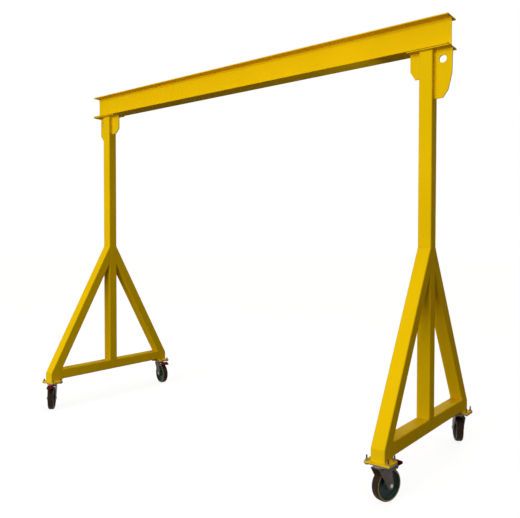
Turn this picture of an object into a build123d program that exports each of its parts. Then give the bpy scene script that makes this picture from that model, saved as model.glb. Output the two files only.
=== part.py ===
from build123d import *
import math
import os

# Frame sizes
TUBE = 90
WALL = 5
CORNER = 9
SPAN = 3220
BASE_LENGTH = 1450
FOOT_END = 78
FOOT_STEP = 13
APEX = 1478
SOFFIT = 2766

# Rail beam
BEAM_H = 194
BEAM_B = 150
FLANGE_T = 9
WEB_T = 6
ROOT_R = 10
OVERHANG = 107

# Plates under the beam
TOP_PLATE_OUT = 9
TOP_PLATE_IN = 4
TOP_PLATE_T = 8
GUSSET_T = 10
EYE_DOWN = 62

# Eyed gussets: width, eye from the post, eye radius, then inset and drop of the corners below the edge
OUTER_GUSSETS = {
    "left": (82, 38, 22, [(0, 175), (45, 236)]),
    "right": (OVERHANG + TOP_PLATE_OUT, 54, 24.5, [(4, 161), (28, 265), (62, 312)]),
}

# Plain gussets towards the middle: width, then inset and drop of the corners
INNER_GUSSETS = {
    "left": (97, [(0, 124), (48, 171)]),
    "right": (74, [(0, 114), (33, 168)]),
}

# Foot plates and caster plates share one bolt pattern
PLATE_X = 160
PLATE_Y = 115
PLATE_R = 6
PITCH_X = 133
PITCH_Y = 86
BOLT_HOLE_R = 5.5
FOOT_PLATE_T = 10
FOOT_PLATE_OUT = 14

# Caster
CASTER_H = 235
CASTER_HEAD_H = 35
CASTER_PLATE_T = 6
WHEEL_W = 48
TYRE_T = 9
TYRE_SHOULDER = 5
TRAIL = 48
AXLE_R = 8
AXLE_HEAD_AF = 22
AXLE_HEAD_H = 7
HEAD_CHAMFER = 1.2
RUN_FIT = 0.1
SWIVEL_GAP = 0.5
TYRE_GAP = 6

# Wheel rim, half across the wheel
HUB_R = 24
HUB_ROOT_R = 28
WEB_W = 14
LIP_T = 8
LIP_DRAFT = 5
DISH_R = 10

# Fork, bent from one plate, with its lower ball race
ARM_T = 5
ARM_IN = 32
BEND_R = 11
CROWN_BACK = 42
CROWN_FRONT = 50
ARM_END_R = 24
RACE_R = 47
RACE_FOOT_R = 39
UPPER_RACE_H = 8
KINGPIN_R = 10
KING_NUT_R = 15
KING_NUT_H = 5

# Brake pedal and the ears that carry it: out from the kingpin, up or down from the fork's crown
PIN_R = 5
PIN_OUT = 98
PIN_DOWN = 8
EAR_R = 13
BARREL_R = 8.5
PEDAL_W = 54
PEDAL_T = 6
HEEL_OUT = 117
HEEL_UP = 20
TIP_OUT = 168
TIP_UP = 3
TIP_H = 8
PEDAL_CORNER = 16

# Casters: side along X, side along Y, heading in degrees from +X
CASTERS = {
    "right_near": (1, -1, 72),
    "right_far": (1, 1, 119),
    "left_near": (-1, -1, -43),
    "left_far": (-1, 1, -18),
}

# Slack used when edges and corners are picked by place
NEAR = 0.01

# Levels and places that follow from the sizes above
FOOT_Z = CASTER_H + FOOT_PLATE_T
BASE_Z = FOOT_Z + FOOT_STEP
BASE_TOP = BASE_Z + TUBE
POST_TOP = SOFFIT - TOP_PLATE_T
POST_X = SPAN / 2
HALF_BASE = BASE_LENGTH / 2
BEAM_END = POST_X + TUBE / 2 + OVERHANG
PLATE_END = BEAM_END + TOP_PLATE_OUT
FOOT_Y = HALF_BASE + FOOT_PLATE_OUT - PLATE_Y / 2
TAN = (HALF_BASE - TUBE / 2) / (APEX - FOOT_Z - FOOT_END)
SLANT = math.hypot(1, TAN)
WHEEL_R = (CASTER_H - CASTER_HEAD_H) / 2
CROWN_LOW = 2 * WHEEL_R + TYRE_GAP
CROWN_TOP = CROWN_LOW + ARM_T
PIN_UP = CROWN_TOP - PIN_DOWN
ARM_OUT = ARM_IN + ARM_T
RIM_R = WHEEL_R - TYRE_T
CASTER_PLATE_Z = CASTER_H - CASTER_PLATE_T
RACE_Z = CASTER_PLATE_Z - UPPER_RACE_H


def save(shape, name):
    export_step(shape, f"parts/{name}.step")


def tube(length):
    outer = RectangleRounded(TUBE, TUBE, CORNER)
    inner = RectangleRounded(TUBE - 2 * WALL, TUBE - 2 * WALL, CORNER - WALL)
    return extrude(outer - inner, length)


def face_from(points):
    return make_face(Polyline(*points, close=True))


def outer_y(z):
    """Y of a leg's outer slope, measured from the middle of the frame."""
    return TUBE / 2 + (APEX - z) * TAN


def inner_y(z):
    return outer_y(z) - TUBE * SLANT


def leg():
    """Leg on the +Y side, with its foot, hollow and open at both ends."""
    seam = inner_y(BASE_TOP)
    face_y = TUBE / 2
    outline = [
        (HALF_BASE, FOOT_Z),
        (HALF_BASE, FOOT_Z + FOOT_END),
        (face_y, APEX),
        (face_y, APEX - TUBE * SLANT / TAN),
        (seam, BASE_TOP),
        (seam, FOOT_Z),
    ]
    body = extrude(Plane.YZ * face_from(outline), TUBE / 2, both=True)
    long_edges = [
        e for e in body.edges()
        if abs(abs(e.center().X) - TUBE / 2) < NEAR
        and e.length > FOOT_END - NEAR
        and abs(e.center().Y - face_y) > NEAR
        and abs(e.center().Y - seam) > NEAR
        and abs(e.center().Z - FOOT_Z) > NEAR
    ]
    body = fillet(long_edges, CORNER)

    step = WALL * SLANT
    past = face_y - WALL
    bend_z = APEX - (HALF_BASE - WALL + step - face_y) / TAN
    knee_z = BASE_TOP + (step - WALL) / TAN
    cavity = [
        (HALF_BASE - WALL, FOOT_Z - WALL),
        (HALF_BASE - WALL, bend_z),
        (past, APEX - (past + step - face_y) / TAN),
        (past, APEX - (past + TUBE * SLANT - step - face_y) / TAN),
        (seam + WALL, knee_z),
        (seam + WALL, FOOT_Z - WALL),
    ]
    return body - extrude(Plane.YZ * face_from(cavity), TUBE / 2 - WALL, both=True)


def beam():
    half_b = BEAM_B / 2
    half_w = WEB_T / 2
    section = Rectangle(BEAM_B, BEAM_H) - [
        Pos(side * (half_w + half_b) / 2, 0) * Rectangle(half_b - half_w, BEAM_H - 2 * FLANGE_T)
        for side in (-1, 1)
    ]
    roots = [v for v in section.vertices() if abs(abs(v.X) - half_w) < NEAR]
    section = fillet(roots, ROOT_R)
    solid = extrude(Plane.YZ * section, BEAM_END, both=True)
    return Pos(0, 0, SOFFIT + BEAM_H / 2) * solid


def gusset_outline(width, corners):
    """Plate standing out from a post's face at x = 0, hung from z = 0."""
    points = [(0, 0), (width, 0)]
    points += [(width - inset, -drop) for inset, drop in corners]
    points.append((0, -corners[-1][1]))
    return face_from(points)


def stand(sketch, x, turn):
    """Sets a gusset upright in the beam's middle plane at a post's face, pointing along X or against it."""
    plate = extrude(Plane.XZ * sketch, GUSSET_T / 2, both=True)
    return Pos(x, 0, POST_TOP) * Rot(0, 0, turn) * plate


def gussets(name, side):
    """Eyed gusset towards the beam's end and plain gusset towards its middle."""
    width, eye_out, eye_r, corners = OUTER_GUSSETS[name]
    outer = gusset_outline(width, corners) - Pos(eye_out, -EYE_DOWN) * Circle(eye_r)
    inner = gusset_outline(*INNER_GUSSETS[name])
    out_turn, in_turn = (0, 180) if side > 0 else (180, 0)
    face = TUBE / 2
    return {
        "outer_gusset": stand(outer, side * (POST_X + face), out_turn),
        "inner_gusset": stand(inner, side * (POST_X - face), in_turn),
    }


def top_plate(name, side):
    """Plate between post and beam, from past the beam's end to the inner gusset's edge."""
    length = PLATE_END - POST_X + TUBE / 2 + INNER_GUSSETS[name][0]
    middle = side * (PLATE_END - length / 2)
    return Pos(middle, 0, SOFFIT - TOP_PLATE_T / 2) * Box(length, BEAM_B - 2 * TOP_PLATE_IN, TOP_PLATE_T)


def bolt_plate(thickness):
    sketch = RectangleRounded(PLATE_X, PLATE_Y, PLATE_R)
    sketch -= GridLocations(PITCH_X, PITCH_Y, 2, 2) * Circle(BOLT_HOLE_R)
    return extrude(sketch, thickness)


def turned(points):
    """Solid of revolution about Z from (radius, height) points."""
    return revolve(Plane.XZ * face_from(points), Axis.Z)


def at_axle(solid):
    """Moves a solid turned about Z onto the wheel's axle."""
    return Pos(TRAIL, 0, WHEEL_R) * Rot(90, 0, 0) * solid


def caster_plate():
    """Top plate with the upper ball race, the kingpin and its nut, as one piece."""
    nut_top = CROWN_LOW - SWIVEL_GAP
    pin = turned([
        (0, CASTER_PLATE_Z),
        (RACE_R, CASTER_PLATE_Z),
        (RACE_R, RACE_Z),
        (KINGPIN_R, RACE_Z),
        (KINGPIN_R, nut_top),
        (KING_NUT_R, nut_top),
        (KING_NUT_R, nut_top - KING_NUT_H),
        (0, nut_top - KING_NUT_H),
    ])
    return Pos(0, 0, CASTER_PLATE_Z) * bolt_plate(CASTER_PLATE_T) + pin


def arm_outline():
    """Side view of the fork: crown, slanted arm and the ear for the pedal's pin."""
    depth = CROWN_TOP - CROWN_LOW
    crown_mid = (CROWN_FRONT - CROWN_BACK) / 2
    crown = Pos(crown_mid, CROWN_TOP - depth) * Rectangle(CROWN_FRONT + CROWN_BACK, 2 * depth)
    arm = make_hull((crown + Pos(TRAIL, WHEEL_R) * Circle(ARM_END_R)).edges())
    ear_root = Pos(CROWN_FRONT - EAR_R, CROWN_TOP - EAR_R) * Rectangle(2 * EAR_R, 2 * EAR_R)
    ear = make_hull((ear_root + Pos(PIN_OUT, PIN_UP) * Circle(EAR_R)).edges())
    return arm + ear - Pos(TRAIL, WHEEL_R) * Circle(AXLE_R)


def fork():
    """Plate bent over the wheel, cut to the side view, with race, pin and kingpin hole."""
    top = PIN_UP + EAR_R
    low = WHEEL_R - 2 * ARM_END_R
    tall = top - low
    outer = fillet(Rectangle(2 * ARM_OUT, 2 * tall).vertices(), BEND_R)
    inner = fillet(Rectangle(2 * ARM_IN, 2 * tall).vertices(), BEND_R - ARM_T)
    reach = PIN_OUT + 2 * EAR_R
    bent = extrude(Plane.YZ * (Pos(0, CROWN_TOP - tall) * outer), reach, both=True)
    bent -= extrude(Plane.YZ * (Pos(0, CROWN_LOW - tall) * inner), reach, both=True)
    solid = bent & extrude(Plane.XZ * arm_outline(), ARM_OUT, both=True)
    solid -= Pos(CROWN_FRONT + reach / 2, 0, CROWN_TOP) * Box(reach, 2 * ARM_IN, 4 * EAR_R)
    race_top = RACE_Z - SWIVEL_GAP
    solid += turned([(0, CROWN_LOW), (RACE_FOOT_R, CROWN_TOP), (RACE_R, race_top), (0, race_top)])
    solid += Pos(PIN_OUT, 0, PIN_UP) * Rot(90, 0, 0) * Cylinder(PIN_R, 2 * ARM_IN + ARM_T)
    bore = KINGPIN_R + RUN_FIT
    return solid - Pos(0, 0, CROWN_LOW) * Cylinder(bore, 4 * ARM_IN)


def axle():
    head = extrude(RegularPolygon(AXLE_HEAD_AF / 2, 6, major_radius=False), AXLE_HEAD_H / 2, both=True)
    head = chamfer(head.faces().sort_by(Axis.Z)[-1].edges(), HEAD_CHAMFER)
    solid = Cylinder(AXLE_R, 2 * ARM_OUT)
    for turn in (0, 180):
        solid += Rot(turn, 0, 0) * Pos(0, 0, ARM_OUT + AXLE_HEAD_H / 2) * head
    return at_axle(solid)


def rim():
    """Cast wheel body: long hub, thin web and a drafted lip under the tyre."""
    half = WHEEL_W / 2
    hub_half = ARM_IN - SWIVEL_GAP
    web = WEB_W / 2
    lip = RIM_R - LIP_T
    side = [
        (AXLE_R + RUN_FIT, hub_half),
        (HUB_R, hub_half),
        (HUB_ROOT_R, web),
        (lip - LIP_DRAFT, web),
        (lip, half),
        (RIM_R, half),
    ]
    profile = face_from(side + [(r, -a) for r, a in reversed(side)])
    roots = [v for v in profile.vertices() if abs(abs(v.Y) - web) < NEAR]
    profile = fillet(roots, DISH_R)
    return at_axle(revolve(Plane.XZ * profile, Axis.Z))


def tyre():
    ring = extrude(Circle(WHEEL_R) - Circle(RIM_R), WHEEL_W / 2, both=True)
    treads = [e for e in ring.edges().filter_by(GeomType.CIRCLE) if e.radius > RIM_R + NEAR]
    return at_axle(fillet(treads, TYRE_SHOULDER))


def pedal():
    """Brake pedal: a bent tread plate with folded sides, on a barrel, its toe rounded in plan."""
    tip_z = CROWN_TOP + TIP_UP
    top = [(PIN_OUT, PIN_UP + BARREL_R), (HEEL_OUT, CROWN_TOP + HEEL_UP), (TIP_OUT, tip_z)]
    under = [(u, z - PEDAL_T) for u, z in reversed(top)]
    pin = Pos(PIN_OUT, PIN_UP)
    barrel = pin * Circle(BARREL_R)
    bore = pin * Circle(PIN_R + RUN_FIT)
    plate = face_from(top + under) + barrel - bore
    side = face_from(top + [(TIP_OUT, tip_z - TIP_H), (PIN_OUT, PIN_UP - BARREL_R)]) + barrel - bore
    half = PEDAL_W / 2
    solid = extrude(Plane.XZ * plate, half, both=True)
    for y in (-half, half - PEDAL_T):
        solid += Pos(0, y, 0) * extrude(Plane.XZ * side, -PEDAL_T)
    long = TIP_OUT - PIN_OUT + 2 * BARREL_R
    plan = Rectangle(long, PEDAL_W)
    plan = fillet([v for v in plan.vertices() if v.X > 0], PEDAL_CORNER)
    return solid & extrude(Pos(TIP_OUT - long / 2, 0) * plan, CASTER_H)


os.makedirs("parts", exist_ok=True)

save(beam(), "beam")

far_leg = leg()
seat_length = 2 * inner_y(BASE_TOP)
post = Pos(0, 0, BASE_TOP) * tube(POST_TOP - BASE_TOP)
base = Pos(0, seat_length / 2, BASE_Z + TUBE / 2) * Rot(90, 0, 0) * tube(seat_length)
for name, side in (("left", -1), ("right", 1)):
    place = Pos(side * POST_X, 0, 0)
    save(place * post, f"{name}_post")
    save(place * base, f"{name}_base_beam")
    save(place * far_leg, f"{name}_far_leg")
    save(place * mirror(far_leg, about=Plane.XZ), f"{name}_near_leg")
    save(top_plate(name, side), f"{name}_top_plate")
    for piece, solid in gussets(name, side).items():
        save(solid, f"{name}_{piece}")

swivelling = {
    "fork": fork(),
    "axle": axle(),
    "rim": rim(),
    "tyre": tyre(),
    "pedal": pedal(),
}
for name, (side_x, side_y, azimuth) in CASTERS.items():
    place = Pos(side_x * POST_X, side_y * FOOT_Y, 0)
    save(place * Pos(0, 0, CASTER_H) * bolt_plate(FOOT_PLATE_T), f"{name}_foot_plate")
    save(place * caster_plate(), f"{name}_caster_plate")
    for piece, solid in swivelling.items():
        save(place * Rot(0, 0, azimuth) * solid, f"{name}_{piece}")
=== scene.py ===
import math
import random

import bmesh
import bpy
from mathutils import Matrix, Vector


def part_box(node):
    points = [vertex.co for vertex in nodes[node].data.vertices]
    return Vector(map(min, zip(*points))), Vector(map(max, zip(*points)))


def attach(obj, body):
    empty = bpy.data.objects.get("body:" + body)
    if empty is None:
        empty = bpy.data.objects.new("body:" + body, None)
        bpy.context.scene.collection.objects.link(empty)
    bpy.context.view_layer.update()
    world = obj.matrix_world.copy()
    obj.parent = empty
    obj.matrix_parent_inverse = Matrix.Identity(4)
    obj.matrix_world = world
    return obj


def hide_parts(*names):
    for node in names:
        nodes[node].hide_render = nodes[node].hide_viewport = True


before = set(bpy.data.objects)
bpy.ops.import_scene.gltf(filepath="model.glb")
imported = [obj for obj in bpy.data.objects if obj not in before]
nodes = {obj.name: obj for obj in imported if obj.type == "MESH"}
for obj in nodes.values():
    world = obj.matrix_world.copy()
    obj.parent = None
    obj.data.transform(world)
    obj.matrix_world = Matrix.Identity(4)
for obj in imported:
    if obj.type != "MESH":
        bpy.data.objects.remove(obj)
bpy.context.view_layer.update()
scene = bpy.context.scene
SEED = 7
random.seed(SEED)

# All lengths are in metres, and angles in radians unless a name says degrees.

# Camera as fitted to the photograph
CAMERA_AT = Vector((3.1059, -3.9046, 1.4978))
CAMERA_YAW = 0.6824
CAMERA_PITCH = -0.0246
FOCAL_PX = 600.3
MIDDLE_LEFT_PX = 30
IMAGE_WIDTH_PX = 520
SENSOR_MM = 36.0
CLIP_END = 200

CASTERS = ("right_near", "right_far", "left_near", "left_far")
SIDES = ("left", "right")

# Foot bolts
BOLT_PITCH = (0.133, 0.086)
BOLT_R = 0.005
BOLT_AF = 0.017
BOLT_SIDES = 24
NUT_H = 0.0085
NUT_TURN = 1.7
HEAD_H = 0.0064
HEX_POINTS = 12
HEX_CUT = 0.09
HEX_FACE = 0.93
STUD_UP = {"left": 0.020, "right": 0.034}
CASTER_PLATE_T = 0.006
WASHER_R = 0.0105
WASHER_T = 0.002
WASHER_GAP = 0.0001
WASHER_SIDES = 32
THREAD_PITCH = 0.0015
THREAD_DEPTH = 0.0007
THREAD_POINT = 1.6
THREAD_RUNOUT = 0.001

# Weld beads
WELD_LEG = 0.0055
WELD_RIPPLE = 0.0042
WELD_LEAST = 4
WELD_WAVE = (1.05, 0.92)
WELD_VARY = (0.95, 1.05)
WELD_END = 0.45
WELD_END_RINGS = 3
WELD_SHORT = 0.004
FILLET_CREST = (0.78, 0.34)
TUBE_CORNER = 0.009
SEAM_SHAPE = (
    (0.1, 0), (1.0, 0.0), (1.06, 0.22), (1.03, 0.5), (0.93, 0.72), (0.7, 0.42), (0.4, 0.18),
)
FLAT_TOLERANCE = 0.0005

# Rolled section of the rail beam
FLANGE_T = 0.009
WEB_T = 0.006
ROOT_R = 0.010
TOE_R = 0.0035
ARC_STEPS = 8

# Groove between the beam and the plate under it, and the dark strip in it that paints its shade
GROOVE_H = 0.0018
GROOVE_IN = 0.012
SEAM_IN = 0.0005
PLATE_EASE = 0.0004

# Caster trim
TREAD_R = 0.100
TREAD_SIDES = 128
SHOULDER_IN = 0.013
SHOULDER_DOWN = 0.0082
SHOULDER_STEPS = 8
WHEEL_HALF = 0.024
BOND_R = 0.091
BOND_W = 0.0032
BOND_OUT = 0.0005
BOND_CREST = 0.5
BOND_SIDES = 96
RACE_LOW = (0.0392, 0.2112)
RACE_HIGH = (0.0472, 0.2203)
RACE_SKIN = 0.0008
RACE_LIP_H = 0.0015
RACE_LIP_SKIN = 0.6
RACE_SIDES = 72
PIN_HEAD_R = 0.0062
PIN_HEAD_H = 0.0022
PIN_DOME = (0, 0.35, 0.7, 1.05, 1.35)
PIN_SIDES = 28
PIN_OUT = 0.098
PIN_UP = 0.203
ARM_OUT = 0.037

# Greatest angles that are shaded smooth, in degrees
SMOOTH = 40
BEAM_SMOOTH = 5
PLATE_SMOOTH = 30
WELD_SMOOTH = 50

# Materials
BEVEL_SAMPLES = 6
EDGE_DOT = (0.985, 0.80)
MIX_A, MIX_B, MIX_RESULT = 6, 7, 2
PAINT_WEAR = 0.4
DUST_ROUGHENS = 0.3
WORN_BRIGHTER = 1.8
CAST_EDGE = 0.6
CAST_BRIGHTER = 2.2
CAST_LIFT = 0.01
SCUFF_SHARE = 0.7
PLATED = 0.2
BARE = 0.6

# Floor and world
FLOOR_HALF = 60.0
FLOOR_BOUNCE = (0.12, 0.10, 0.075, 1)
FLOOR_PALE = (0.80, 0.80, 0.80, 1)
FLOOR_GLOW = 1.15
FLOOR_GLOW_SHARE = 0.76
FILL_COLOR = (1.0, 0.70, 0.45, 1)
FILL_STRENGTH = 0.09
WHITE = (1, 1, 1, 1)


def srgb(r, g, b):
    """Linear colour from 8-bit screen values."""
    def lin(c):
        c /= 255
        return c / 12.92 if c <= 0.04045 else ((c + 0.055) / 1.055) ** 2.4
    return (lin(r), lin(g), lin(b), 1.0)


def brighter(color, factor, lift=0.0):
    return tuple(min(1.0, c * factor + lift) for c in color[:3]) + (1.0,)


class Shader:
    """A material with a Principled shader and short calls to add nodes to it."""

    def __init__(self, name, roughness, specular, metallic=0.0):
        self.mat = bpy.data.materials.new(name)
        self.mat.use_nodes = True
        self.tree = self.mat.node_tree
        self.bsdf = self.tree.nodes["Principled BSDF"]
        self.bsdf.inputs["Roughness"].default_value = roughness
        self.bsdf.inputs["Metallic"].default_value = metallic
        self.bsdf.inputs["Specular IOR Level"].default_value = specular
        self.place = self.add("ShaderNodeTexCoord").outputs["Object"]

    def add(self, kind, **settings):
        node = self.tree.nodes.new(kind)
        for key, value in settings.items():
            setattr(node, key, value)
        return node

    def link(self, a, b):
        self.tree.links.new(a, b)

    def noise(self, scale, detail=3.0, rough=0.55):
        node = self.add("ShaderNodeTexNoise")
        node.inputs["Scale"].default_value = scale
        node.inputs["Detail"].default_value = detail
        node.inputs["Roughness"].default_value = rough
        self.link(self.place, node.inputs["Vector"])
        return node.outputs["Fac"]

    def ramp(self, value, low, high, out_low=0.0, out_high=1.0):
        node = self.add("ShaderNodeMapRange", clamp=True)
        ends = {"From Min": low, "From Max": high, "To Min": out_low, "To Max": out_high}
        for key, number in ends.items():
            node.inputs[key].default_value = number
        self.link(value, node.inputs["Value"])
        return node.outputs["Result"]

    def math(self, operation, a, b):
        node = self.add("ShaderNodeMath", operation=operation)
        for socket, value in zip(node.inputs, (a, b)):
            if isinstance(value, (int, float)):
                socket.default_value = value
            else:
                self.link(value, socket)
        return node.outputs["Value"]

    def mix(self, factor, a, b):
        node = self.add("ShaderNodeMix", data_type="RGBA")
        self.link(factor, node.inputs["Factor"])
        for index, value in ((MIX_A, a), (MIX_B, b)):
            if isinstance(value, tuple):
                node.inputs[index].default_value = value
            else:
                self.link(value, node.inputs[index])
        return node.outputs[MIX_RESULT]

    def bevel(self, radius):
        node = self.add("ShaderNodeBevel", samples=BEVEL_SAMPLES)
        node.inputs["Radius"].default_value = radius
        return node.outputs["Normal"]

    def edges(self, radius):
        """Mask that is 1 along sharp outside and inside edges."""
        geometry = self.add("ShaderNodeNewGeometry")
        dot = self.add("ShaderNodeVectorMath", operation="DOT_PRODUCT")
        self.link(self.bevel(radius), dot.inputs[0])
        self.link(geometry.outputs["Normal"], dot.inputs[1])
        return self.ramp(dot.outputs["Value"], *EDGE_DOT)

    def height(self, low, high):
        split = self.add("ShaderNodeSeparateXYZ")
        self.link(self.place, split.inputs["Vector"])
        return self.ramp(split.outputs["Z"], low, high)

    def color(self, value):
        self.link(value, self.bsdf.inputs["Base Color"])

    def roughness(self, value):
        self.link(value, self.bsdf.inputs["Roughness"])

    def bump(self, value, distance, strength, soften):
        """Fine relief on top of edges that are softened by a small radius."""
        node = self.add("ShaderNodeBump")
        node.inputs["Distance"].default_value = distance
        node.inputs["Strength"].default_value = strength
        self.link(value, node.inputs["Height"])
        self.link(self.bevel(soften), node.inputs["Normal"])
        self.link(node.outputs["Normal"], self.bsdf.inputs["Normal"])


def paint(name, base, deep, worn, dust):
    """Sprayed enamel: slow drifts of tone, orange peel, thin edges and a little dust low down."""
    s = Shader(name, roughness=0.55, specular=0.002)
    drift = s.ramp(s.noise(scale=1.7, detail=5.0), low=0.35, high=0.72)
    fine = s.ramp(s.noise(scale=38.0, detail=4.0), low=0.50, high=0.80, out_high=0.35)
    tone = s.mix(s.math("MAXIMUM", drift, fine), base, deep)
    chips = s.ramp(s.noise(scale=120.0, detail=4.0, rough=0.7), low=0.56, high=0.66)
    wear = s.math("MULTIPLY", s.edges(radius=0.0009), chips)
    tone = s.mix(s.math("MULTIPLY", wear, PAINT_WEAR), tone, worn)
    specks = s.ramp(s.noise(scale=24.0, detail=6.0, rough=0.65), low=0.42, high=0.78, out_high=0.18)
    dusty = s.math("MULTIPLY", s.height(low=0.42, high=0.24), specks)
    s.color(s.mix(dusty, tone, dust))
    gloss = s.ramp(s.noise(scale=9.0, detail=5.0), low=0.3, high=0.75, out_low=0.40, out_high=0.56)
    s.roughness(s.math("ADD", gloss, s.math("MULTIPLY", dusty, DUST_ROUGHENS)))
    s.bump(s.noise(scale=420.0, detail=2.0), distance=0.00035, strength=0.35, soften=0.0015)
    return s.mat


def metal(name, base, stained, roughness, metallic=PLATED):
    """Plated or bare steel with blotches, worn bright edges and fine tooth."""
    s = Shader(name, roughness, specular=0.25, metallic=metallic)
    blotch = s.ramp(s.noise(scale=30.0, detail=6.0, rough=0.65), low=0.38, high=0.70)
    tone = s.mix(blotch, base, stained)
    patches = s.ramp(s.noise(scale=90.0), low=0.45, high=0.6)
    wear = s.math("MULTIPLY", s.edges(radius=0.0012), patches)
    s.color(s.mix(wear, tone, brighter(base, WORN_BRIGHTER)))
    s.roughness(s.ramp(s.noise(scale=60.0, detail=5.0), low=0.3, high=0.75,
                       out_low=roughness - 0.10, out_high=roughness + 0.14))
    s.bump(s.noise(scale=160.0, detail=3.0), distance=0.0002, strength=0.5, soften=0.0008)
    return s.mat


def casting(name, base, deep):
    """Painted casting with paler edges and a sandy skin."""
    s = Shader(name, roughness=0.42, specular=0.15)
    tone = s.mix(s.ramp(s.noise(scale=26.0, detail=6.0), low=0.36, high=0.72), base, deep)
    edge = s.math("MULTIPLY", s.edges(radius=0.0015), CAST_EDGE)
    s.color(s.mix(edge, tone, brighter(base, CAST_BRIGHTER, CAST_LIFT)))
    s.roughness(s.ramp(s.noise(scale=45.0, detail=4.0), low=0.3, high=0.7,
                       out_low=0.32, out_high=0.52))
    s.bump(s.noise(scale=260.0, detail=4.0), distance=0.0005, strength=0.5, soften=0.001)
    return s.mat


def tread(name, base, scuffed):
    """Dull tread or bond line with scuffs; also the painted shade strip in the seat grooves."""
    s = Shader(name, roughness=0.5, specular=0.12)
    scuff = s.ramp(s.noise(scale=34.0, detail=8.0, rough=0.7), low=0.46, high=0.74)
    s.color(s.mix(s.math("MULTIPLY", scuff, SCUFF_SHARE), base, scuffed))
    s.roughness(s.ramp(s.noise(scale=70.0, detail=4.0), low=0.3, high=0.7,
                       out_low=0.42, out_high=0.66))
    s.bump(s.noise(scale=190.0, detail=5.0), distance=0.0005, strength=0.5, soften=0.001)
    return s.mat


YELLOW = paint("yellow_enamel", base=srgb(233, 193, 8), deep=srgb(226, 185, 5),
               worn=srgb(120, 92, 30), dust=srgb(150, 128, 60))
RED = paint("red_enamel", base=srgb(94, 20, 32), deep=srgb(78, 14, 24),
            worn=srgb(120, 96, 92), dust=srgb(92, 60, 58))
ZINC = metal("bright_zinc", srgb(192, 186, 175), srgb(166, 160, 148), roughness=0.42)
# Caster plate zinc: its own plated tone, darkened further as painted shade under the foot plate
ZINC_AND_SHADE = metal("zinc_darkened_for_shade", srgb(116, 107, 96), srgb(94, 86, 77), roughness=0.46)
NUT_ZINC = metal("yellow_zinc", srgb(156, 139, 88), srgb(122, 107, 64), roughness=0.45)
DARK_ZINC = metal("dark_zinc", srgb(88, 79, 72), srgb(69, 61, 55), roughness=0.48)
STEEL = metal("bright_steel", srgb(186, 181, 172), srgb(148, 142, 134), roughness=0.30, metallic=BARE)
BLACK_STEEL = metal("black_bolt", srgb(74, 64, 50), srgb(50, 43, 34), roughness=0.5)
GREEN = casting("green_casting", srgb(28, 54, 49), srgb(20, 41, 38))
TREAD = tread("brown_tread", srgb(38, 26, 15), srgb(47, 34, 22))
BOND = tread("bond_line", srgb(168, 140, 62), srgb(140, 112, 48))
# Painted shade: dark brown for strips laid in the grooves under the beam, to darken them as a shadow
# would
SEAM_SHADE = tread("seam_painted_shade", srgb(78, 54, 6), srgb(62, 42, 4))

# Material of a node by the end of its name; the others are yellow
KINDS = {
    "caster_plate": ZINC_AND_SHADE,
    "fork": DARK_ZINC,
    "axle": STEEL,
    "rim": GREEN,
    "tyre": TREAD,
    "pedal": RED,
}
for name, node in nodes.items():
    looks = [mat for ending, mat in KINDS.items() if name.endswith(ending)]
    node.data.materials.clear()
    node.data.materials.append(looks[0] if looks else YELLOW)


def piece(name, mesh, mat, body):
    mesh.validate()
    obj = bpy.data.objects.new(name, mesh)
    scene.collection.objects.link(obj)
    mesh.materials.append(mat)
    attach(obj, body)
    return obj


def to_mesh(name, bm, smooth_deg=SMOOTH):
    bmesh.ops.recalc_face_normals(bm, faces=bm.faces)
    mesh = bpy.data.meshes.new(name)
    bm.to_mesh(mesh)
    bm.free()
    for polygon in mesh.polygons:
        polygon.use_smooth = True
    mesh.set_sharp_from_angle(angle=math.radians(smooth_deg))
    return mesh


def placed(x_axis, y_axis, z_axis, at):
    """Placement with these local axes and this origin."""
    matrix = Matrix((x_axis, y_axis, z_axis)).transposed().to_4x4()
    matrix.translation = at
    return matrix


def skin(bm, rings, capped=True):
    """Faces from each ring to the next, capped at both ends or else closed from last to first."""
    following = rings[1:] if capped else rings[1:] + rings[:1]
    for low, high in zip(rings, following):
        count = len(low)
        for k in range(count):
            n = (k + 1) % count
            bm.faces.new((low[k], low[n], high[n], high[k]))
    if capped:
        bm.faces.new(rings[0])
        bm.faces.new(rings[-1])


def turned(bm, outline, place, sides, capped):
    """Form turned about local Z from an outline of (radius, height) points."""
    rings = []
    for r, z in outline:
        ring = []
        for k in range(sides):
            a = 2 * math.pi * k / sides
            ring.append(bm.verts.new(place @ Vector((r * math.cos(a), r * math.sin(a), z))))
        rings.append(ring)
    skin(bm, rings, capped)


def hexagon(bm, across, low, high, place, turn):
    """Hexagon nut or head with its corners turned down at both faces."""
    corner = across / math.sqrt(3)
    cut = HEX_CUT * across
    rings = []
    for z, share in ((low, HEX_FACE), (low + cut, 1.0), (high - cut, 1.0), (high, HEX_FACE)):
        ring = []
        for k in range(HEX_POINTS):
            a = turn + 2 * math.pi * k / HEX_POINTS
            reach = corner * share if k % 2 == 0 else min(across / 2, corner * share)
            ring.append(bm.verts.new(place @ Vector((reach * math.cos(a), reach * math.sin(a), z))))
        rings.append(ring)
    skin(bm, rings)


def threaded(low, high):
    """Outline of a threaded end, as stacked ridges."""
    root = BOLT_R - THREAD_DEPTH
    points = [(root, low)]
    z = low
    while z + THREAD_PITCH < high - THREAD_RUNOUT:
        points += [(BOLT_R, z + THREAD_PITCH / 2), (root, z + THREAD_PITCH)]
        z += THREAD_PITCH
    return points + [(BOLT_R - THREAD_DEPTH * THREAD_POINT, high)]


def prism(bm, outline, x0, x1):
    """Solid of one (y, z) outline drawn from x0 to x1."""
    skin(bm, [[bm.verts.new((x, y, z)) for y, z in outline] for x in (x0, x1)])


def both_sides(half):
    """Closed outline from its half on the +Y side."""
    return half + [(-y, z) for y, z in reversed(half)]


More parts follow.
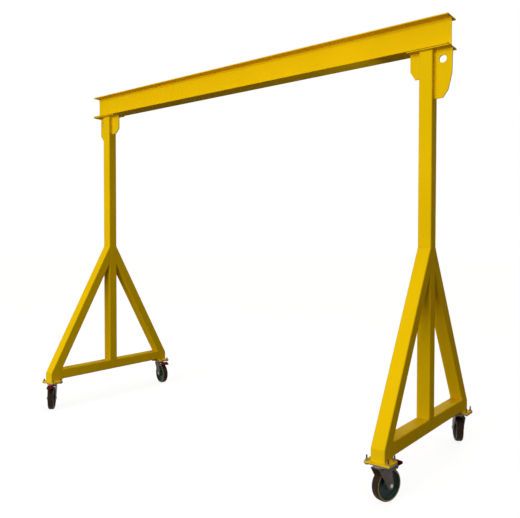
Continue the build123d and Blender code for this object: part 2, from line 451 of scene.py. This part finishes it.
def arc(middle_y, middle_z, radius, start_deg, end_deg):
    """Points (y, z) along an arc, both ends included."""
    points = []
    for k in range(ARC_STEPS + 1):
        a = math.radians(start_deg + (end_deg - start_deg) * k / ARC_STEPS)
        points.append((middle_y + radius * math.cos(a), middle_z + radius * math.sin(a)))
    return points


def rolled_beam():
    """Rail beam with the round toes and roots of a rolled section."""
    low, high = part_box("beam")
    toe_y = high.y - TOE_R
    root_y = WEB_T / 2 + ROOT_R
    half = arc(toe_y, low.z + TOE_R, TOE_R, -90, 0)
    half += arc(toe_y, low.z + FLANGE_T - TOE_R, TOE_R, 0, 90)
    half += arc(root_y, low.z + FLANGE_T + ROOT_R, ROOT_R, 270, 180)
    half += arc(root_y, high.z - FLANGE_T - ROOT_R, ROOT_R, 180, 90)
    half += arc(toe_y, high.z - FLANGE_T + TOE_R, TOE_R, -90, 0)
    half += arc(toe_y, high.z - TOE_R, TOE_R, 0, 90)
    bm = bmesh.new()
    prism(bm, both_sides(half), low.x, high.x)
    mesh = to_mesh("rolled_beam", bm, BEAM_SMOOTH)
    beam = piece("rolled_beam", mesh, YELLOW, "frame")
    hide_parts("beam")


def seat_plate(side):
    """Plate under the beam, with eased lower edges and a narrow groove where the flange sits on it; a
    dark strip in each groove is painted shade.
    """
    name = f"{side}_top_plate"
    low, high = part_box(name)
    step = high.z - GROOVE_H
    half = [
        (high.y - PLATE_EASE, low.z),
        (high.y, low.z + PLATE_EASE),
        (high.y, step),
        (high.y - GROOVE_IN, step),
        (high.y - GROOVE_IN, high.z),
    ]
    bm = bmesh.new()
    prism(bm, both_sides(half), low.x, high.x)
    mesh = to_mesh("seat_plate", bm, PLATE_SMOOTH)
    plate = piece(f"{side}_seat_plate", mesh, YELLOW, "frame")
    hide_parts(name)

    # Dark strips in both grooves: painted shade along the flange's edge
    shade_strips = bmesh.new()
    for sign in (-1, 1):
        front = sign * (high.y - SEAM_IN)
        back = sign * (high.y - GROOVE_IN)
        strip = [(front, step), (front, high.z), (back, high.z), (back, step)]
        prism(shade_strips, strip, low.x + SEAM_IN, high.x - SEAM_IN)
    mesh = to_mesh("seat_seam_shade", shade_strips, PLATE_SMOOTH)
    piece(f"{side}_seat_seam_shade", mesh, SEAM_SHADE, "frame")


def foot_bolts(caster):
    """Four bolts through a foot plate, with their heads below, and washers and nuts on top."""
    low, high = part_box(f"{caster}_foot_plate")
    mid = (low + high) / 2
    plate_low = low.z - CASTER_PLATE_T
    stud_up = STUD_UP[caster.split("_")[0]]
    hole_r = BOLT_R + WASHER_GAP
    nut_low = high.z + WASHER_T
    washer = [(hole_r, high.z), (WASHER_R, high.z), (WASHER_R, nut_low), (hole_r, nut_low)]
    dark, bright = bmesh.new(), bmesh.new()
    for sx in (-1, 1):
        for sy in (-1, 1):
            at = Vector((mid.x + sx * BOLT_PITCH[0] / 2, mid.y + sy * BOLT_PITCH[1] / 2, 0))
            place = Matrix.Translation(at)
            turn = random.uniform(0, math.pi)
            turned(dark, threaded(plate_low, high.z + stud_up), place, BOLT_SIDES, capped=True)
            hexagon(dark, BOLT_AF, plate_low - HEAD_H, plate_low, place, turn)
            turned(bright, washer, place, WASHER_SIDES, capped=False)
            hexagon(bright, BOLT_AF, nut_low, nut_low + NUT_H, place, turn * NUT_TURN)
    piece(f"{caster}_studs", to_mesh("studs", dark), BLACK_STEEL, "frame")
    piece(f"{caster}_nuts", to_mesh("nuts", bright), NUT_ZINC, "frame")


def bead(bm, start, end, section):
    """Rippled weld from start to end; section lists its outline as steps from the root."""
    start, end = Vector(start), Vector(end)
    count = max(WELD_LEAST, int((end - start).length / WELD_RIPPLE) * 2)
    rings = []
    for k in range(count + 1):
        ends = WELD_END + (1 - WELD_END) * min(k, count - k) / WELD_END_RINGS
        size = min(1.0, ends) * WELD_WAVE[k % 2] * random.uniform(*WELD_VARY)
        root = start.lerp(end, k / count)
        rings.append([bm.verts.new(root + step * size) for step in section])
    skin(bm, rings)


def fillet(a, b):
    """Section of a corner weld; a and b point along the two faces it joins."""
    a, b = Vector(a).normalized() * WELD_LEG, Vector(b).normalized() * WELD_LEG
    more, less = FILLET_CREST
    return [Vector(), a, a * more + b * less, a * less + b * more, b]


def seam(out, across):
    """Section of a weld that fills the hollow beside a tube's rounded corner."""
    out, across = Vector(out), Vector(across)
    return [(out * a + across * b) * TUBE_CORNER for a, b in SEAM_SHAPE]


def leg_reach(leg, sy):
    """How far a leg reaches out along Y, and the heights of its knee and of its top."""
    world = [leg.matrix_world @ v.co for v in leg.data.vertices]
    far = max(sy * p.y for p in world)
    knee_z = max(p.z for p in world if sy * p.y > far - FLAT_TOLERANCE)
    top_z = max(p.z for p in world)
    return far, knee_z, top_z


def gusset_welds(bm, side, x, half):
    """Beads of one post's two gussets, along the post and under the plate."""
    for name, out_sign in ((f"{side}_outer_gusset", 1), (f"{side}_inner_gusset", -1)):
        low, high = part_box(name)
        sign = math.copysign(1, x) * out_sign
        face_x = x + sign * half
        far_x = (high.x if sign > 0 else low.x) - sign * WELD_SHORT
        for sy in (-1, 1):
            y = high.y if sy > 0 else low.y
            out = (0, sy, 0)
            corner = (face_x, y, high.z)
            bead(bm, (face_x, y, low.z + WELD_SHORT), corner, fillet((sign, 0, 0), out))
            bead(bm, corner, (far_x, y, high.z), fillet((0, 0, -1), out))


def foot_welds(bm, side, end, x, half):
    """Beads of one foot on its plate, and under the base beam's end."""
    plate_low, plate_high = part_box(f"{side}_{end}_foot_plate")
    foot_low, foot_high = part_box(f"{side}_{end}_leg")
    base_low, base_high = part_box(f"{side}_base_beam")
    sy = -1 if end == "near" else 1
    flat = half - TUBE_CORNER
    edge_y = foot_low.y if sy < 0 else foot_high.y
    inner_y = plate_high.y if sy < 0 else plate_low.y
    butt_y = base_low.y if sy < 0 else base_high.y

    def across(y, z, section):
        bead(bm, (x - flat, y, z), (x + flat, y, z), section)

    across(edge_y, plate_high.z, fillet((0, 0, 1), (0, sy, 0)))
    across(butt_y, base_low.z, fillet((0, 0, -1), (0, -sy, 0)))
    for sx in (-1, 1):
        start = (x + sx * half, edge_y - sy * TUBE_CORNER, plate_high.z)
        stop = (x + sx * half, inner_y, plate_high.z)
        bead(bm, start, stop, fillet((0, 0, 1), (sx, 0, 0)))


def frame_welds(side):
    """Beads of one end frame, placed from the boxes of the pieces they join."""
    bm = bmesh.new()
    post_low, post_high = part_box(f"{side}_post")
    x = (post_low.x + post_high.x) / 2
    half = (post_high.x - post_low.x) / 2
    flat = half - TUBE_CORNER
    up, down = Vector((0, 0, 1)), Vector((0, 0, -1))
    for end, sy in (("near", -1), ("far", 1)):
        leg_far, knee_z, top_z = leg_reach(nodes[f"{side}_{end}_leg"], sy)
        run = Vector((0, sy * (leg_far - half), knee_z - top_z)).normalized()
        out = Vector((0, sy, 0))
        face = sy * half
        crotch_z = top_z - 2 * half / abs(run.y)
        for z, section in (
            (top_z, fillet(up, run)),
            (crotch_z, fillet(down, run)),
            (post_low.z, fillet(up, out)),
            (post_high.z, fillet(down, out)),
        ):
            bead(bm, (x - flat, face, z), (x + flat, face, z), section)
        for sx in (-1, 1):
            edge_x = x + sx * flat
            section = seam((sx, 0, 0), (0, -sy, 0))
            bead(bm, (edge_x, face, crotch_z), (edge_x, face, top_z), section)
        foot_welds(bm, side, end, x, half)
    for sx in (-1, 1):
        edge_x = x + sx * flat
        section = seam((sx, 0, 0), (0, 0, -1))
        bead(bm, (edge_x, -flat, post_low.z), (edge_x, flat, post_low.z), section)
    gusset_welds(bm, side, x, half)
    mesh = to_mesh("welds", bm, WELD_SMOOTH)
    piece(f"{side}_frame_welds", mesh, YELLOW, "frame")


def round_tyre(caster, wheel):
    """Tyre with round shoulders."""
    half = []
    for k in range(SHOULDER_STEPS + 1):
        a = 0.5 * math.pi * k / SHOULDER_STEPS
        down = SHOULDER_DOWN * (1 - math.cos(a))
        half.append((TREAD_R - down, WHEEL_HALF - SHOULDER_IN * (1 - math.sin(a))))
    half.append((BOND_R, WHEEL_HALF))
    outline = [(r, -w) for r, w in reversed(half)] + half
    bm = bmesh.new()
    turned(bm, outline, wheel, TREAD_SIDES, capped=False)
    tread_ring = piece(f"{caster}_tread", to_mesh("tread", bm), TREAD, f"{caster}_wheel")
    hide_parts(f"{caster}_tyre")


def bond_lines(caster, wheel):
    """Low ring on each face of a wheel, where the tyre meets the rim."""
    bm = bmesh.new()
    for sign in (-1, 1):
        face = sign * WHEEL_HALF
        crest = face + sign * BOND_OUT
        ring = [
            (BOND_R - BOND_W, face),
            (BOND_R - BOND_W * BOND_CREST, crest),
            (BOND_R + BOND_W * BOND_CREST, crest),
            (BOND_R + BOND_W, face),
        ]
        turned(bm, ring, wheel, BOND_SIDES, capped=False)
    piece(f"{caster}_bond_lines", to_mesh("bond", bm), BOND, f"{caster}_wheel")


def race_skirt(caster, middle):
    """Bright skin of the lower race."""
    bm = bmesh.new()
    (low_r, low_z), (high_r, high_z) = RACE_LOW, RACE_HIGH
    outline = [
        (low_r, low_z),
        (low_r + RACE_SKIN, low_z),
        (high_r + RACE_SKIN, high_z - RACE_LIP_H),
        (high_r + RACE_SKIN * RACE_LIP_SKIN, high_z),
        (high_r, high_z),
    ]
    turned(bm, outline, Matrix.Translation((middle.x, middle.y, 0)), RACE_SIDES, capped=False)
    piece(f"{caster}_race_skirt", to_mesh("skirt", bm), ZINC, f"{caster}_swivel")


def pin_heads(caster, middle, ahead, across):
    """Domed heads of the pedal's pin."""
    bm = bmesh.new()
    dome = [(PIN_HEAD_R * math.cos(a), PIN_HEAD_H * math.sin(a)) for a in PIN_DOME]
    for sign in (-1, 1):
        at = middle + ahead * PIN_OUT + across * sign * ARM_OUT
        place = placed(ahead, Vector((0, 0, -sign)), across * sign, (at.x, at.y, PIN_UP))
        turned(bm, dome, place, PIN_SIDES, capped=True)
    piece(f"{caster}_pin_heads", to_mesh("pin_heads", bm), DARK_ZINC, f"{caster}_swivel")


def caster_trim(caster):
    """Trim of one caster, set by the way its wheel lies from the middle of its foot plate."""
    plate_low, plate_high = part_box(f"{caster}_foot_plate")
    rim_low, rim_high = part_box(f"{caster}_rim")
    hub = (rim_low + rim_high) / 2
    middle = (plate_low + plate_high) / 2
    ahead = Vector((hub.x - middle.x, hub.y - middle.y, 0)).normalized()
    across = Vector((-ahead.y, ahead.x, 0))
    wheel = placed(ahead, Vector((0, 0, -1)), across, hub)
    round_tyre(caster, wheel)
    bond_lines(caster, wheel)
    race_skirt(caster, middle)
    pin_heads(caster, middle, ahead, across)


for caster in CASTERS:
    foot_bolts(caster)
    caster_trim(caster)
for side in SIDES:
    frame_welds(side)
    seat_plate(side)
rolled_beam()


def camera_place(at, yaw, pitch):
    """Camera at a point, turned left by yaw from +Y and up by pitch."""
    level = math.cos(pitch)
    forward = Vector((-math.sin(yaw) * level, math.cos(yaw) * level, math.sin(pitch)))
    right = Vector((math.cos(yaw), math.sin(yaw), 0))
    return placed(right, right.cross(forward), -forward, at)


camera = bpy.data.objects.new("camera", bpy.data.cameras.new("camera"))
scene.collection.objects.link(camera)
camera.matrix_world = camera_place(CAMERA_AT, CAMERA_YAW, CAMERA_PITCH)
camera.data.sensor_width = SENSOR_MM
camera.data.lens = FOCAL_PX / IMAGE_WIDTH_PX * SENSOR_MM
camera.data.shift_x = MIDDLE_LEFT_PX / IMAGE_WIDTH_PX
camera.data.clip_end = CLIP_END
scene.camera = camera


def shader_node(tree, kind, **values):
    """New shader node with values on its sockets; gives its shader output."""
    node = tree.nodes.new(kind)
    for key, value in values.items():
        node.inputs[key].default_value = value
    return node.outputs[0]


def join(tree, first, second):
    """Mix node between two shaders; its factor is still to be set."""
    node = tree.nodes.new("ShaderNodeMixShader")
    tree.links.new(first, node.inputs[1])
    tree.links.new(second, node.inputs[2])
    return node


def join_by_ray(tree, kind, unseen, seen):
    """Output with one shader for rays that show a surface, to the camera, mirrored or passed
    through, and another for all other rays."""
    path = tree.nodes.new("ShaderNodeLightPath")
    shows = path.outputs["Is Camera Ray"]
    for ray in ("Is Glossy Ray", "Is Transmission Ray"):
        larger = tree.nodes.new("ShaderNodeMath")
        larger.operation = "MAXIMUM"
        tree.links.new(shows, larger.inputs[0])
        tree.links.new(path.outputs[ray], larger.inputs[1])
        shows = larger.outputs["Value"]
    share = join(tree, unseen, seen)
    tree.links.new(shows, share.inputs["Fac"])
    out = tree.nodes.new(kind)
    tree.links.new(share.outputs["Shader"], out.inputs["Surface"])


def stage():
    """Floor that shows white where it is lit and pale in the object's shadow, and reflects little."""
    mesh = bpy.data.meshes.new("floor")
    r = FLOOR_HALF
    mesh.from_pydata([(-r, -r, 0), (r, -r, 0), (r, r, 0), (-r, r, 0)], [], [(0, 1, 2, 3)])
    floor = bpy.data.objects.new("floor", mesh)
    scene.collection.objects.link(floor)
    mat = bpy.data.materials.new("pale_floor")
    mat.use_nodes = True
    tree = mat.node_tree
    tree.nodes.clear()
    pale = shader_node(tree, "ShaderNodeBsdfDiffuse", Color=FLOOR_PALE)
    white = shader_node(tree, "ShaderNodeEmission", Strength=FLOOR_GLOW)
    seen = join(tree, pale, white)
    seen.inputs["Fac"].default_value = FLOOR_GLOW_SHARE
    bounce = shader_node(tree, "ShaderNodeBsdfDiffuse", Color=FLOOR_BOUNCE)
    join_by_ray(tree, "ShaderNodeOutputMaterial", bounce, seen.outputs["Shader"])
    mesh.materials.append(mat)


def light_world():
    """White background, with only a dim warm fill on the object."""
    world = bpy.data.worlds.new("studio")
    scene.world = world
    world.use_nodes = True
    tree = world.node_tree
    tree.nodes.clear()
    fill = shader_node(tree, "ShaderNodeBackground", Color=FILL_COLOR, Strength=FILL_STRENGTH)
    back = shader_node(tree, "ShaderNodeBackground", Color=WHITE, Strength=1.0)
    join_by_ray(tree, "ShaderNodeOutputWorld", fill, back)


def lamp(name, data, toward):
    obj = bpy.data.objects.new(name, data)
    scene.collection.objects.link(obj)
    obj.rotation_euler = Vector(toward).to_track_quat("-Z", "Y").to_euler()
    return obj


def sun(name, toward, strength, spread_deg):
    data = bpy.data.lights.new(name, "SUN")
    data.energy = strength
    data.angle = math.radians(spread_deg)
    lamp(name, data, toward)


def soft_box(name, at, toward, size, power):
    data = bpy.data.lights.new(name, "AREA")
    data.shape = "RECTANGLE"
    data.size, data.size_y = size
    data.energy = power
    box = lamp(name, data, toward)
    box.location = at
    box.visible_camera = False
    box.visible_glossy = False


stage()
light_world()
sun("key", toward=(0.0, 0.965, -0.26), strength=0.62, spread_deg=5)
sun("front_sky", toward=(0.05, 0.90, -0.42), strength=0.45, spread_deg=60)
soft_box("front", at=(0.2, -7.6, 2.8), toward=(0.0, 1.0, 0.0), size=(7.0, 1.3), power=340.0)
sun("sky", toward=(-0.22, -0.08, -0.97), strength=1.05, spread_deg=70)
sun("back", toward=(0.15, -0.95, -0.28), strength=1.60, spread_deg=40)
soft_box("portal", at=(1.30, -0.20, 1.90), toward=(-1, 0, 0), size=(0.6, 1.5), power=2.0)

scene.view_settings.view_transform = "Standard"
